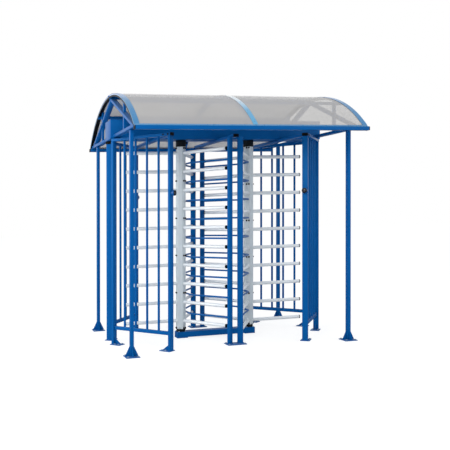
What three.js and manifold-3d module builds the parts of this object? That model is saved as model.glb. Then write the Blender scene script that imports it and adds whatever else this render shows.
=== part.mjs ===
// A double full height turnstile under an arched canopy.
// Two three-winged rotors stand side by side in a cage of barred panels. Bent comb bars between
// the rotors close the way back, and a long housing over both rotors holds their locks.
// X runs across the two lanes, -Y is the front, Z is up, and the origin is on the floor at the centre.
import * as THREE from "three";
import { mergeVertices } from "three/addons/utils/BufferGeometryUtils.js";
import Module from "manifold-3d";

const wasm = await Module();
wasm.setup();

// Overall layout
const arm_reach = 650; // rotor axis to the end of an arm
const arm_to_hub = 118; // from the end of an arm to the other rotor's hub
const arm_to_post = 39.25; // and to the middle of the posts between the lanes
const mid_post_x = 58.7; // the posts between the lanes
const lane_post_in = 306; // outer post of a lane, in from the arms' sweep along the cage
const lane_post_out = 67; // and out from the sweep to the front and the back
const corner_post_out = 152; // the pair of posts at each end of the cage, past the sweep
const corner_post_y = 120;
const frame_top = 2229; // top of the cage, where the housing rests
const fit_gap = 0.3; // between pieces that are bolted or slid together
const cut_over = 5; // how far a cutting body runs past what it cuts

// Cage members
const post_width = 60; // across the panel
const post_depth = 30; // along the panel
const rail_height = 30; // top rail and tie, laid flat on the posts
const low_rail_height = 38;
const low_rail_z = 163;
const bar_radius = 12.5;
const bars_per_panel = 4;
const plate_thickness = 8;
const panel_plate_width = 100;
const panel_plate_inner = 110; // from the post centre inwards
const panel_plate_outer = 20;
const gusset_height = 60;
const gusset_length = 80;
const gusset_thickness = 6;
const mid_plate_length = 210;
const mid_plate_depth = 135;
const mid_plate_inset = 11.5; // plate centre past the post centre
const mid_tie_overhang = 24; // past the middle of the posts

// Comb of bent bars beside each rotor
const comb_bar_radius = 10;
const comb_drop = 119; // highest bar below the left rotor's top arm
const comb_clear = 68; // from the rotor axis to the straight middle run
const comb_half_run = 160;
const comb_bend_radius = 90;

// Rotor
const arm_pitch = 210;
const arm_radius = 19;
const arm_drop = 69.6; // left rotor's top arm below the top of the hub
const arm_stagger = 48; // the right rotor's arms pass below the left rotor's
const hub_end = 25; // least plain hub past the lowest arm
const wings = 3;
const hub_radius = 52; // flat of the hub profile at the wing
const hub_flat = 42;
const hub_seam_radius = 47;
const hub_shoulder = 44;
const hub_shoulder_side = 31;
const hub_flute_depth = 3;
const hub_flute_width = 10;
const hub_clear = 0.5; // above the foot bearing and below the shroud
const core_radius = 23.5;
const journal_radius = 20;
const foot_journal_radius = 15;
const foot_journal_end = 52;
const shaft_stub = 14; // past the lock wheel

// Bearings
const foot_radius = 56;
const foot_boss_radius = 50;
const foot_flange = 11;
const foot_height = 25.7;
const foot_groove = 4;
const shroud_radius = 58;
const shroud_groove = 3;
const shroud_bands = 3;
const shroud_height = 74.9;
const gland_radius = 12;
const gland_length = 20;
const gland_drop = 31; // middle of the gland below the tray
const bearing_flange = 110;
const bearing_flange_height = 12;
const bearing_boss_radius = 40;
const bearing_height = 40;

// Floor beam that carries both rotors
const beam_overhang = 58; // past each rotor axis
const beam_half_width = 56;
const beam_top = 70;
const beam_wall = 4;
const pad_length = 122;
const pad_height = 8;

// Housing over the rotors
const housing_overhang = 40; // past the corner posts
const housing_half_depth = 139.5;
const housing_height = 205; // cover above the tray
const housing_wall = 3;
const tray_thickness = 4;
const tray_hole_radius = 30;

// Lock in the housing
const notch_count = 12;
const wheel_radius = 84;
const notch_depth = 14;
const notch_width = 17;
const wheel_thickness = 12;
const wheel_hub_radius = 32;
const wheel_hub_height = 20;
const wheel_clear = 3; // hub of the wheel above the top bearing
const pawl_pivot_out = 106; // from the rotor axis along the housing
const pawl_pivot_back = 78; // and across it, so that the tooth meets the notch square when it is in
const pawl_arm = 82; // from the pivot to the tooth
const pawl_width = 16;
const pawl_tooth_length = 21; // from the middle of the lever
const pawl_tooth_root = 12;
const pawl_tooth_tip = 8;
const pawl_pin_radius = 6;
const pawl_eye_radius = 14;
const lock_plate_thickness = 5;
const lock_plate_margin = 16;
const coil_length = 62;
const coil_width = 42;
const coil_height = 40;
const plunger_radius = 6;
const plunger_gap = 1;
const plunger_length = 22;

// Reader pods on the lane posts
const pod_radius = 28.5;
const pod_collar_radius = 22;
const pod_length = 40;
const pod_collar_length = 12;
const pod_recess = 3;
const pod_rim = 4;
const pod_z = 1613; // at hand height

// Canopy
const canopy_post_out = 122; // out from the lane posts
const canopy_post_width = 35;
const canopy_post_depth = 50;
const foot_plate_width = 140;
const foot_plate_depth = 150;
const fin_reach = 50;
const fin_height = 102;
const fin_thickness = 6;
const roof_inset = 15; // ends of the roof, in from those of the housing
const gable_inset = 42; // gables and canopy posts, in from the ends of the roof
const eaves_reach = 296; // foot of the sheet, out from the canopy posts
const crown_rise = 470.7; // underside of the sheet, ridge above foot
const eaves_lift = 13; // top of the eaves beams above the cage
const eaves_ledge = 35; // eaves beam outside the foot of the sheet
const eaves_depth = 60;
const eaves_height = 35;
const sheet_thickness = 6;
const strip_thickness = 3;
const strip_width = 50;
const flange_depth = 28; // the gable strips turn down over the edge of the sheet
const lip_width = 20;
const lip_thickness = 4;
const seal_width = 48;
const seal_thickness = 3;
const sheet_joint = 2;
const arch_steps = 28;
const truss_width = 60; // ties and rafters, along the housing
const tie_height = 30;
const rafter_height = 26;
const rafter_drop = 37; // middle of the rafters below the sheet at the ridge
const rafter_setback = 130; // middle of a rafter's foot from the foot of the sheet
const strut_width = 25;
const strut_depth = 38;
const strut_share = 0.483; // of the way from the ridge to the foot of the sheet
const purlin_share = 0.552; // the same for the side purlins
const purlin_size = 30;
const rib_width = 30;
const rib_depth = 45;

// Places and heights that follow from those above
const axis_x = (arm_reach + hub_radius + arm_to_hub) / 2; // each rotor axis from the centre
const sweep_x = axis_x + arm_reach;
const lane_post_x = sweep_x - lane_post_in;
const lane_post_y = arm_reach + lane_post_out;
const corner_post_x = sweep_x + corner_post_out;
const mid_post_y = Math.sqrt((arm_reach + arm_to_post) ** 2 - (axis_x - mid_post_x) ** 2);
const housing_half_length = corner_post_x + housing_overhang;
const roof_half_length = housing_half_length - roof_inset;
const canopy_post_x = roof_half_length - gable_inset;
const canopy_post_y = lane_post_y + canopy_post_out;
const arch_foot_y = canopy_post_y + eaves_reach;
const tray_top = frame_top + tray_thickness;
const housing_top = tray_top + housing_height;
const hub_bottom = beam_top + foot_height + hub_clear;
const hub_top = frame_top - shroud_height - hub_clear;
const arm_top_z = hub_top - arm_drop;
const arm_span = arm_top_z - arm_stagger - arm_radius - hub_end - hub_bottom;
const arms_per_wing = 1 + Math.floor(arm_span / arm_pitch);
const comb_bars = arms_per_wing - 1;
const comb_top_z = arm_top_z - comb_drop;
const wheel_z = tray_top + bearing_height + wheel_clear + wheel_hub_height / 2;
const shaft_top = wheel_z + wheel_thickness + shaft_stub;

// Facets
const round_sides = 20;
const tube_sides = 10;
const bar_sides = 8;
const comb_sides = 8;
const bend_steps = 2;

const blue = { color: 0x05529a, roughness: 0.38, metalness: 0.15 };
const deep_blue = { color: 0x123f86, roughness: 0.42, metalness: 0.15 };
const sky_blue = { color: 0x6f9fce, roughness: 0.3, metalness: 0.3 };
const alloy = { color: 0xc3cacf, roughness: 0.35, metalness: 0.6 };
const steel = { color: 0x8f959a, roughness: 0.35, metalness: 0.9 };
const black = { color: 0x12181b, roughness: 0.6, metalness: 0 };
const smoked = { color: 0xa9a7a6, roughness: 0.12, metalness: 0, transparent: true, opacity: 0.6 };

// Solid helpers

function solidOf(geometry) {
  const bare = geometry.clone();
  bare.deleteAttribute("normal");
  bare.deleteAttribute("uv");
  const merged = mergeVertices(bare, fit_gap / 100);
  return new wasm.Manifold(
    new wasm.Mesh({
      numProp: 3,
      vertProperties: new Float32Array(merged.attributes.position.array),
      triVerts: new Uint32Array(merged.index.array),
    }),
  );
}

function geometryOf(solid) {
  const mesh = solid.getMesh();
  const flat = new THREE.BufferGeometry();
  flat.setAttribute("position", new THREE.BufferAttribute(new Float32Array(mesh.vertProperties), 3));
  flat.setIndex(new THREE.BufferAttribute(new Uint32Array(mesh.triVerts), 1));
  const faceted = flat.toNonIndexed();
  faceted.computeVertexNormals();
  return faceted;
}

const fuse = (pieces) => pieces.reduce((whole, piece) => whole.add(piece));
const carve = (body, cutters) => cutters.reduce((left, cutter) => left.subtract(cutter), body);

function block([x0, x1], [y0, y1], [z0, z1]) {
  const shape = new THREE.BoxGeometry(x1 - x0, y1 - y0, z1 - z0);
  return solidOf(shape.translate((x0 + x1) / 2, (y0 + y1) / 2, (z0 + z1) / 2));
}

// An upright cylinder between two heights
function pillar(radius, z0, z1, x = 0, y = 0, sides = round_sides) {
  const shape = new THREE.CylinderGeometry(radius, radius, z1 - z0, sides);
  return solidOf(shape.rotateX(Math.PI / 2).translate(x, y, (z0 + z1) / 2));
}

// A cylinder lying along X
function spindle(radius, x0, x1, y, z, sides = tube_sides) {
  const shape = new THREE.CylinderGeometry(radius, radius, x1 - x0, sides);
  return solidOf(shape.rotateZ(Math.PI / 2).translate((x0 + x1) / 2, y, z));
}

// A plan outline raised between two heights
function slab(outline, z0, z1) {
  const shape = new THREE.Shape(outline.map(([x, y]) => new THREE.Vector2(x, y)));
  const body = new THREE.ExtrudeGeometry(shape, { depth: z1 - z0, bevelEnabled: false });
  return solidOf(body.translate(0, 0, z0));
}

// An outline in the YZ plane drawn out along X
function section(outline, x0, x1) {
  const shape = new THREE.Shape(outline.map(([y, z]) => new THREE.Vector2(y, z)));
  const body = new THREE.ExtrudeGeometry(shape, { depth: x1 - x0, bevelEnabled: false });
  body.applyMatrix4(new THREE.Matrix4().set(0, 0, 1, x0, 1, 0, 0, 0, 0, 1, 0, 0, 0, 0, 0, 1));
  return solidOf(body);
}

// A profile of radius and height turned about Z
function turned(profile, sides = round_sides) {
  const points = profile.map(([r, z]) => new THREE.Vector2(r, z));
  return solidOf(new THREE.LatheGeometry(points, sides).rotateX(Math.PI / 2));
}

// A round bar through a list of points, with the corners rounded off
class BentRoute extends THREE.Curve {
  constructor(points) {
    super();
    this.points = points;
  }
  getPoint(t, target = new THREE.Vector3()) {
    const spans = this.points.length - 1;
    const i = Math.min(Math.floor(t * spans), spans - 1);
    return target.lerpVectors(this.points[i], this.points[i + 1], t * spans - i);
  }
  getPointAt(t, target) {
    return this.getPoint(t, target);
  }
  getTangentAt(t, target) {
    return this.getTangent(t, target);
  }
}

function bentBar(corners, radius, bend, sides) {
  const points = [corners[0]];
  for (let i = 1; i < corners.length - 1; i++) {
    const into = new THREE.Vector3().subVectors(corners[i - 1], corners[i]).normalize();
    const out = new THREE.Vector3().subVectors(corners[i + 1], corners[i]).normalize();
    const setback = bend * Math.tan((Math.PI - into.angleTo(out)) / 2);
    const curve = new THREE.QuadraticBezierCurve3(
      into.multiplyScalar(setback).add(corners[i]),
      corners[i],
      out.multiplyScalar(setback).add(corners[i]),
    );
    points.push(...curve.getPoints(bend_steps));
  }
  points.push(corners.at(-1));
  const ring = new THREE.Shape().absarc(0, 0, radius, 0, 2 * Math.PI);
  const bar = new THREE.ExtrudeGeometry(ring, {
    steps: points.length - 1,
    curveSegments: sides / 2,
    extrudePath: new BentRoute(points),
    bevelEnabled: false,
  });
  return solidOf(bar);
}

const turnstile = new THREE.Group();

function place(parent, name, solid, paint) {
  const mesh = new THREE.Mesh(geometryOf(solid), new THREE.MeshStandardMaterial(paint));
  mesh.name = name;
  parent.add(mesh);
  return mesh;
}

function frameAt(x, y, turn, parent = turnstile) {
  const frame = new THREE.Group();
  frame.position.set(x, y, 0);
  frame.rotation.z = turn;
  parent.add(frame);
  return frame;
}

// Barred panels
// Each runs from a corner post to a lane post. Its own X is along the panel, from the corner post.
const panel_dx = corner_post_x - lane_post_x;
const panel_dy = lane_post_y - corner_post_y;
const panel_length = Math.hypot(panel_dx, panel_dy);
const post_top = frame_top - rail_height;
const across_x = panel_dy / panel_length;
const across_y = panel_dx / panel_length;

function panelFoot(x, inwards) {
  const near = x - inwards * panel_plate_outer;
  const far = x + inwards * panel_plate_inner;
  const root = x + (inwards * post_depth) / 2;
  const plate = block(
    [Math.min(near, far), Math.max(near, far)],
    [-panel_plate_width / 2, panel_plate_width / 2],
    [0, plate_thickness],
  );
  const fin = section(
    [
      [0, plate_thickness],
      [gusset_length, plate_thickness],
      [0, plate_thickness + gusset_height],
    ],
    -gusset_thickness / 2,
    gusset_thickness / 2,
  ).rotate([0, 0, -90 * inwards]);
  return plate.add(fin.translate([root, 0, 0]));
}

function panel() {
  const half = post_width / 2;
  const pieces = [panelFoot(0, 1), panelFoot(panel_length, -1)];
  for (const x of [0, panel_length])
    pieces.push(block([x - post_depth / 2, x + post_depth / 2], [-half, half], [plate_thickness, post_top]));
  pieces.push(
    block([-post_depth / 2, panel_length + post_depth / 2], [-half, half], [post_top, frame_top]),
    block([0, panel_length], [-post_depth / 2, post_depth / 2], [low_rail_z, low_rail_z + low_rail_height]),
  );
  for (let i = 1; i <= bars_per_panel; i++) {
    const x = (panel_length * i) / (bars_per_panel + 1);
    const [low, high] = [low_rail_z + low_rail_height / 2, frame_top - rail_height / 2];
    pieces.push(pillar(bar_radius, low, high, x, 0, bar_sides));
  }
  return fuse(pieces);
}

function pod() {
  const inner = pod_radius - pod_rim;
  return turned([
    [0, 0],
    [pod_collar_radius, 0],
    [pod_collar_radius, pod_collar_length],
    [pod_radius, pod_collar_length],
    [pod_radius, pod_length - pod_recess],
    [pod_radius - pod_recess, pod_length],
    [inner, pod_length],
    [inner, pod_length - pod_recess],
    [0, pod_length - pod_recess],
  ]).rotate([0, 90, 0]);
}

const panel_turn = Math.atan2(panel_dy, panel_dx);
for (const [side, sx] of [["left", -1], ["right", 1]])
  for (const [row, sy] of [["front", -1], ["back", 1]]) {
    const turn = sx < 0 ? sy * panel_turn : sy * (Math.PI - panel_turn);
    const frame = frameAt(sx * corner_post_x, sy * corner_post_y, turn);
    place(frame, `panel_${row}_${side}`, panel(), blue);
    const reader = place(frame, `reader_${row}_${side}`, pod(), deep_blue);
    reader.position.set(panel_length + post_depth / 2 + fit_gap, 0, pod_z);
  }

// Combs of bent bars, each welded between a front and a back middle post
const comb_inner_x = axis_x - comb_clear;
const comb_turn = Math.atan2(comb_inner_x - mid_post_x, mid_post_y - comb_half_run);

function comb() {
  const pieces = [];
  for (const sy of [-1, 1]) {
    const post = block(
      [-post_width / 2, post_width / 2],
      [-post_depth / 2, post_depth / 2],
      [plate_thickness, post_top],
    );
    const turn = THREE.MathUtils.radToDeg(sy * comb_turn);
    pieces.push(post.rotate([0, 0, turn]).translate([mid_post_x, sy * mid_post_y, 0]));
  }
  for (let i = 0; i < comb_bars; i++) {
    const z = comb_top_z - i * arm_pitch;
    const corners = [
      [mid_post_x, -mid_post_y],
      [comb_inner_x, -comb_half_run],
      [comb_inner_x, comb_half_run],
      [mid_post_x, mid_post_y],
    ].map(([x, y]) => new THREE.Vector3(x, y, z));
    pieces.push(bentBar(corners, comb_bar_radius, comb_bend_radius, comb_sides));
  }
  return fuse(pieces);
}

for (const [side, turn] of [["left", Math.PI], ["right", 0]])
  place(frameAt(0, 0, turn), `comb_${side}`, comb(), blue);

for (const [row, sy] of [["front", -1], ["back", 1]]) {
  const y = sy * (mid_post_y + mid_plate_inset);
  const plate = block(
    [-mid_plate_length / 2, mid_plate_length / 2],
    [y - mid_plate_depth / 2, y + mid_plate_depth / 2],
    [0, plate_thickness],
  );
  place(turnstile, `mid_plate_${row}`, plate, blue);
}

// Ties along Y under the housing. The outer ones are cut to the slant of the panels' top rails.
function outerTie() {
  const reach = lane_post_x * across_x + lane_post_y * across_y - post_width / 2 - fit_gap;
  const endAt = (x) => (reach - x * across_x) / across_y;
  const [x0, x1] = [lane_post_x - post_width / 2, lane_post_x + post_width / 2];
  return slab(
    [
      [x0, -endAt(x0)],
      [x1, -endAt(x1)],
      [x1, endAt(x1)],
      [x0, endAt(x0)],
    ],
    post_top,
    frame_top,
  );
}

for (const [side, turn] of [["left", Math.PI], ["right", 0]])
  place(frameAt(0, 0, turn), `tie_${side}`, outerTie(), deep_blue);
const mid_tie_end = mid_post_y + mid_tie_overhang;
const middle_tie = block(
  [-post_width / 2, post_width / 2],
  [-mid_tie_end, mid_tie_end],
  [post_top, frame_top],
);
place(turnstile, "tie_middle", middle_tie, deep_blue);

// Floor beam, an inverted channel closed at its ends, on a pad under each rotor
const beam_half_length = axis_x + beam_overhang;
const beam = block(
  [-beam_half_length, beam_half_length],
  [-beam_half_width, beam_half_width],
  [pad_height, beam_top],
);
const beam_inside = block(
  [-beam_half_length + beam_wall, beam_half_length - beam_wall],
  [-beam_half_width + beam_wall, beam_half_width - beam_wall],
  [pad_height - cut_over, beam_top - beam_wall],
);
const beam_pads = [-1, 1].map((sx) => {
  const [outer, inner] = [sx * beam_half_length, sx * (beam_half_length - pad_length)];
  const ends = [Math.min(outer, inner), Math.max(outer, inner)];
  return block(ends, [-beam_half_width, beam_half_width], [0, pad_height]);
});
const beam_bores = [-axis_x, axis_x].map((x) =>
  pillar(foot_journal_radius + fit_gap, beam_top - 2 * beam_wall, beam_top + cut_over, x),
);
place(turnstile, "base_beam", carve(fuse([carve(beam, [beam_inside]), ...beam_pads]), beam_bores), blue);

// Housing: a flat tray with a deep cover over it
const tray = block(
  [-housing_half_length, housing_half_length],
  [-housing_half_depth, housing_half_depth],
  [frame_top, tray_top],
);
const tray_holes = [-axis_x, axis_x].map((x) =>
  pillar(tray_hole_radius, frame_top - cut_over, tray_top + cut_over, x),
);
place(turnstile, "housing_tray", carve(tray, tray_holes), blue);

const cover = block(
  [-housing_half_length, housing_half_length],
  [-housing_half_depth, housing_half_depth],
  [tray_top, housing_top],
);
const cover_inside = block(
  [-housing_half_length + housing_wall, housing_half_length - housing_wall],
  [-housing_half_depth + housing_wall, housing_half_depth - housing_wall],
  [tray_top - cut_over, housing_top - housing_wall],
);
place(turnstile, "housing_cover", carve(cover, [cover_inside]), blue);

// Bearings of one rotor, in the rotor's own frame
function footBearing() {
  const top = beam_top + foot_height;
  const bore = foot_journal_radius + fit_gap;
  const neck = foot_radius - foot_groove;
  return turned([
    [bore, beam_top],
    [foot_radius, beam_top],
    [foot_radius, beam_top + foot_flange],
    [neck - foot_groove, beam_top + foot_flange],
    [neck - foot_groove, beam_top + foot_flange + foot_groove],
    [foot_boss_radius, beam_top + foot_flange + foot_groove],
    [foot_boss_radius, top],
    [bore, top],
    [bore, beam_top],
  ]);
}

function topShroud() {
  const bottom = frame_top - shroud_height;
  const bore = journal_radius + fit_gap;
  const neck = shroud_radius - shroud_groove;
  const band = shroud_height / shroud_bands;
  const outline = [[bore, bottom]];
  for (let i = 0; i < shroud_bands; i++) {
    const [low, high] = [bottom + i * band, bottom + (i + 1) * band];
    outline.push([shroud_radius, low], [shroud_radius, high - shroud_groove]);
    if (i < shroud_bands - 1) outline.push([neck, high - shroud_groove], [neck, high]);
  }
  outline.push([neck, frame_top], [bore, frame_top], [bore, bottom]);
  const gland_end = shroud_radius + gland_length;
  const gland = spindle(gland_radius, neck - gland_length, gland_end, 0, frame_top - gland_drop);
  return turned(outline).add(gland);
}

function topBearing() {
  const half = bearing_flange / 2;
  const flange = block([-half, half], [-half, half], [tray_top, tray_top + bearing_flange_height]);
  const boss = pillar(bearing_boss_radius, tray_top, tray_top + bearing_height);
  const bore = pillar(journal_radius + fit_gap, tray_top - cut_over, tray_top + bearing_height + cut_over);
  return carve(flange.add(boss), [bore]);
}

// Rotor pieces
function shaft() {
  return turned([
    [0, foot_journal_end],
    [foot_journal_radius, foot_journal_end],
    [foot_journal_radius, hub_bottom - fit_gap / 2],
    [core_radius, hub_bottom - fit_gap / 2],
    [core_radius, hub_top],
    [journal_radius, hub_top],
    [journal_radius, shaft_top],
    [0, shaft_top],
  ]);
}

// A third of the hub, its flat face square to the wing, with a flute either side of the flat
function hubThird() {
  const seam = Math.PI / wings;
  const core = core_radius + fit_gap;
  const [seam_x, seam_y] = [Math.cos(seam), Math.sin(seam)];
  const flute_root = hub_flat / 2 - hub_flute_width;
  const upper = [
    [hub_radius, flute_root],
    [hub_radius - hub_flute_depth, flute_root + hub_flute_depth],
    [hub_radius - hub_flute_depth, hub_flat / 2 - hub_flute_depth],
    [hub_radius, hub_flat / 2],
    [hub_shoulder, hub_shoulder_side],
    [hub_seam_radius * seam_x, hub_seam_radius * seam_y],
  ];
  const bore = [];
  for (let i = 0; i <= tube_sides / 2; i++) {
    const angle = seam - (2 * seam * i) / (tube_sides / 2);
    const chord = core / Math.cos(seam / (tube_sides / 2));
    bore.push([chord * Math.cos(angle), chord * Math.sin(angle)]);
  }
  const lower = upper.map(([x, y]) => [x, -y]).reverse();
  const outline = [...lower, ...upper, ...bore];
  const third = slab(outline, hub_bottom, hub_top);
  // a hair off each seam, so the three thirds don't share a face
  const shim = fit_gap / (2 * Math.sin(seam));
  return third.translate([shim, 0, 0]);
}

function wing(top_z) {
  const root = hub_radius - 2 * hub_flute_depth;
  const pieces = [hubThird()];
  for (let i = 0; i < arms_per_wing; i++)
    pieces.push(spindle(arm_radius, root, arm_reach, 0, top_z - i * arm_pitch));
  return fuse(pieces);
}

function lockWheel() {
  const disc = pillar(wheel_radius, wheel_z, wheel_z + wheel_thickness, 0, 0, 3 * notch_count);
  const hub = pillar(wheel_hub_radius, wheel_z - wheel_hub_height / 2, wheel_z + wheel_thickness);
  const notch = block(
    [wheel_radius - notch_depth, wheel_radius + cut_over],
    [-notch_width / 2, notch_width / 2],
    [wheel_z - cut_over, wheel_z + wheel_thickness + cut_over],
  );
  const bore = pillar(journal_radius + fit_gap, wheel_z - wheel_hub_height, wheel_z + 2 * wheel_thickness);
  const notches = [];
  for (let i = 0; i < notch_count; i++) notches.push(notch.rotate([0, 0, (360 * i) / notch_count]));
  return carve(disc.add(hub), [bore, ...notches]);
}

// Lock: a pawl swings about a pin and its tooth drops into a notch. At rest the coil holds it clear.
function pawl() {
  const [z0, z1] = [wheel_z + fit_gap, wheel_z + wheel_thickness - fit_gap];
  const eye = pillar(pawl_eye_radius, z0, z1);
  const lever = block([-pawl_width / 2, pawl_width / 2], [0, pawl_arm + pawl_tooth_root], [z0, z1]);
  const tooth = slab(
    [
      [0, pawl_arm - pawl_tooth_root / 2],
      [0, pawl_arm + pawl_tooth_root / 2],
      [-pawl_tooth_length, pawl_arm + pawl_tooth_tip / 2],
      [-pawl_tooth_length, pawl_arm - pawl_tooth_tip / 2],
    ],
    z0,
    z1,
  );
  const bore = pillar(pawl_pin_radius + fit_gap, z0 - cut_over, z1 + cut_over);
  return carve(fuse([eye, lever, tooth]), [bore]);
}

function lockUnit() {
  const base_top = tray_top + lock_plate_thickness;
  const lever_z = wheel_z + wheel_thickness / 2;
  const coil_x = pawl_pivot_out + pawl_width / 2 + plunger_gap;
  const coil_start = coil_x + plunger_length;
  const plate = block(
    [pawl_pivot_out - lock_plate_margin, coil_start + coil_length + lock_plate_margin],
    [-pawl_pivot_back - lock_plate_margin, coil_width / 2],
    [tray_top, base_top],
  );
  const stand = block(
    [coil_start, coil_start + coil_length],
    [-coil_width / 2, coil_width / 2],
    [base_top, lever_z + coil_height / 2],
  );
  const pin_top = wheel_z + 2 * wheel_thickness;
  const plunger = spindle(plunger_radius, coil_x, coil_start + plunger_radius, 0, lever_z);
  const shoulder = pillar(pawl_eye_radius, base_top, wheel_z, pawl_pivot_out, -pawl_pivot_back);
  const pin = pillar(pawl_pin_radius, base_top, pin_top, pawl_pivot_out, -pawl_pivot_back);
  return fuse([plate, stand, plunger, shoulder, pin]);
}

// Both rotors with their bearings and locks. The right one is the left one turned half round.
for (const [side, sx, turn, drop] of [
  ["left", -1, 0, 0],
  ["right", 1, Math.PI, arm_stagger],
]) {
  const frame = frameAt(sx * axis_x, 0, turn);
  place(frame, `foot_bearing_${side}`, footBearing(), black);
  place(frame, `top_shroud_${side}`, topShroud(), black);
  place(frame, `top_bearing_${side}`, topBearing(), steel);
  place(frame, `shaft_${side}`, shaft(), steel);
  for (let i = 0; i < wings; i++) {
    const turned_wing = frameAt(0, 0, Math.PI + (2 * Math.PI * i) / wings, frame);
    place(turned_wing, `wing_${side}_${i + 1}`, wing(arm_top_z - drop), alloy);
  }
  place(frame, `lock_wheel_${side}`, lockWheel(), steel);
  place(frame, `lock_unit_${side}`, lockUnit(), steel);
  const lever = place(frame, `lock_pawl_${side}`, pawl(), steel);
  lever.position.set(pawl_pivot_out, -pawl_pivot_back, 0);
}

// Canopy posts on finned feet. The gable ties lie on the posts and on the eaves beams.
const eaves_top = frame_top + eaves_lift;
const seat_z = eaves_top + fit_gap;

function canopyPost() {
  const [hw, hd] = [canopy_post_width / 2, canopy_post_depth / 2];
  const fin = (root) =>
    section(
      [
        [0, plate_thickness],
        [root + fin_reach, plate_thickness],
        [root, plate_thickness + fin_height],
        [0, plate_thickness + fin_height],
      ],
      -fin_thickness / 2,
      fin_thickness / 2,
    );
  const pieces = [
    block(
      [-foot_plate_width / 2, foot_plate_width / 2],
      [-foot_plate_depth / 2, foot_plate_depth / 2],
      [0, plate_thickness],
    ),
    block([-hw, hw], [-hd, hd], [plate_thickness, seat_z]),
  ];
  for (let i = 0; i < 4; i++) pieces.push(fin(i % 2 ? hw : hd).rotate([0, 0, 90 * i]));
  return fuse(pieces);
}

for (const [side, sx] of [["left", -1], ["right", 1]])
  for (const [row, sy] of [["front", -1], ["back", 1]])
    place(
      frameAt(sx * canopy_post_x, sy * canopy_post_y, 0),
      `canopy_post_${row}_${side}`,
      canopyPost(),
      blue,
    );

// Arch of the roof: the sheet's underside runs from the eaves over the crown
const crown_z = seat_z + crown_rise;
const arch_radius = (arch_foot_y ** 2 + crown_rise ** 2) / (2 * crown_rise);
const arch_centre_z = crown_z - arch_radius;
const arch_half_angle = Math.asin(arch_foot_y / arch_radius);
const lip_angle = lip_width / arch_radius;

const onArch = (radius, angle) => [radius * Math.sin(angle), arch_centre_z + radius * Math.cos(angle)];

// Every arc bends at the same angles, so that arcs laid on one another keep their gap
function arc(radius, half_angle) {
  const angles = [-half_angle];
  for (let i = 1; i < arch_steps; i++) {
    const angle = arch_half_angle * ((2 * i) / arch_steps - 1);
    if (Math.abs(angle) < half_angle) angles.push(angle);
  }
  return [...angles, half_angle].map((angle) => onArch(radius, angle));
}

function band(inner, outer, half_angle, x0, x1) {
  return section([...arc(inner, half_angle), ...arc(outer, half_angle).reverse()], x0, x1);
}

// What stands on the eaves beams ends level with their tops
function cutLevel(solid) {
  const past_roof = roof_half_length + cut_over;
  return carve(solid, [block([-past_roof, past_roof], [-arch_foot_y, arch_foot_y], [0, seat_z])]);
}

const sheet_outer = arch_radius + sheet_thickness;
const strip_inner = sheet_outer + fit_gap;
const under_sheet = arch_radius - fit_gap;
const strip_half_angle = arch_half_angle - lip_angle - fit_gap / arch_radius;
const seal_half_angle = arch_half_angle - (2 * fit_gap) / arch_radius;

for (const [side, sx] of [["left", -1], ["right", 1]]) {
  const [near, far] = [sheet_joint / 2, roof_half_length];
  const [x0, x1] = sx < 0 ? [-far, -near] : [near, far];
  place(turnstile, `roof_sheet_${side}`, band(arch_radius, sheet_outer, arch_half_angle, x0, x1), smoked);
}

// Flat black seal under each gable end of the sheet
for (const [side, sx] of [["left", -1], ["right", 1]]) {
  const ends = [sx * roof_half_length, sx * (roof_half_length - seal_width)].sort((a, b) => a - b);
  const seal = band(under_sheet - seal_thickness, under_sheet, seal_half_angle, ...ends);
  place(turnstile, `edge_seal_${side}`, cutLevel(seal), black);
}

// Cover strips over the middle joint and the two gable ends, where they turn down over the edge
const strip_outer = strip_inner + strip_thickness;
const strip = (x0, x1) => band(strip_inner, strip_outer, strip_half_angle, x0, x1);

function gableStrip() {
  const near = roof_half_length + fit_gap;
  const far = near + strip_thickness;
  const flange = band(strip_outer - flange_depth, strip_outer, strip_half_angle, near, far);
  return strip(roof_half_length - strip_width, far).add(flange);
}

place(turnstile, "cover_strip_middle", strip(-strip_width / 2, strip_width / 2), sky_blue);
for (const [side, turn] of [["left", Math.PI], ["right", 0]])
  place(frameAt(0, 0, turn), `cover_strip_${side}`, gableStrip(), sky_blue);

// Eaves beams, each with a bent lip that clamps the foot of the sheet
const eaves_outer = arch_foot_y + eaves_ledge;
for (const [row, sy] of [["front", -1], ["back", 1]]) {
  const ends = [sy * (eaves_outer - eaves_depth), sy * eaves_outer].sort((a, b) => a - b);
  const eaves = block([-roof_half_length, roof_half_length], ends, [eaves_top - eaves_height, eaves_top]);
  place(turnstile, `eaves_beam_${row}`, eaves, blue);

  const grip = arch_half_angle - lip_angle;
  const [inner, outer] = [strip_inner, strip_inner + lip_thickness];
  const foot = onArch(inner, arch_half_angle);
  const profile = [
    onArch(inner, grip),
    foot,
    [foot[0] + fit_gap, eaves_top],
    [eaves_outer, eaves_top],
    [eaves_outer, eaves_top + lip_thickness],
    onArch(outer, arch_half_angle),
    onArch(outer, grip),
  ];
  const outline = sy > 0 ? profile : profile.map(([y, z]) => [-y, z]).reverse();
  place(turnstile, `eaves_lip_${row}`, section(outline, -roof_half_length, roof_half_length), sky_blue);
}

// Purlins. The side ones touch the seals, and all three run out to the turned-down strips.
const under_seal = under_sheet - seal_thickness - fit_gap;
const purlin_flat = under_seal * Math.cos(arch_half_angle / arch_steps);
const side_angle = Math.asin((purlin_share * arch_foot_y) / (purlin_flat - purlin_size / 2));
const purlins = [
  ["front", -side_angle],
  ["ridge", 0],
  ["back", side_angle],
];

function purlin(angle, half_length, grown = 0, raised = 0) {
  const half = purlin_size / 2 + grown;
  const heights = [purlin_flat - purlin_size - grown, purlin_flat + raised];
  const tube = block([-half_length, half_length], [-half, half], heights);
  return tube.rotate([THREE.MathUtils.radToDeg(-angle), 0, 0]).translate([0, 0, arch_centre_z]);
}

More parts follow.
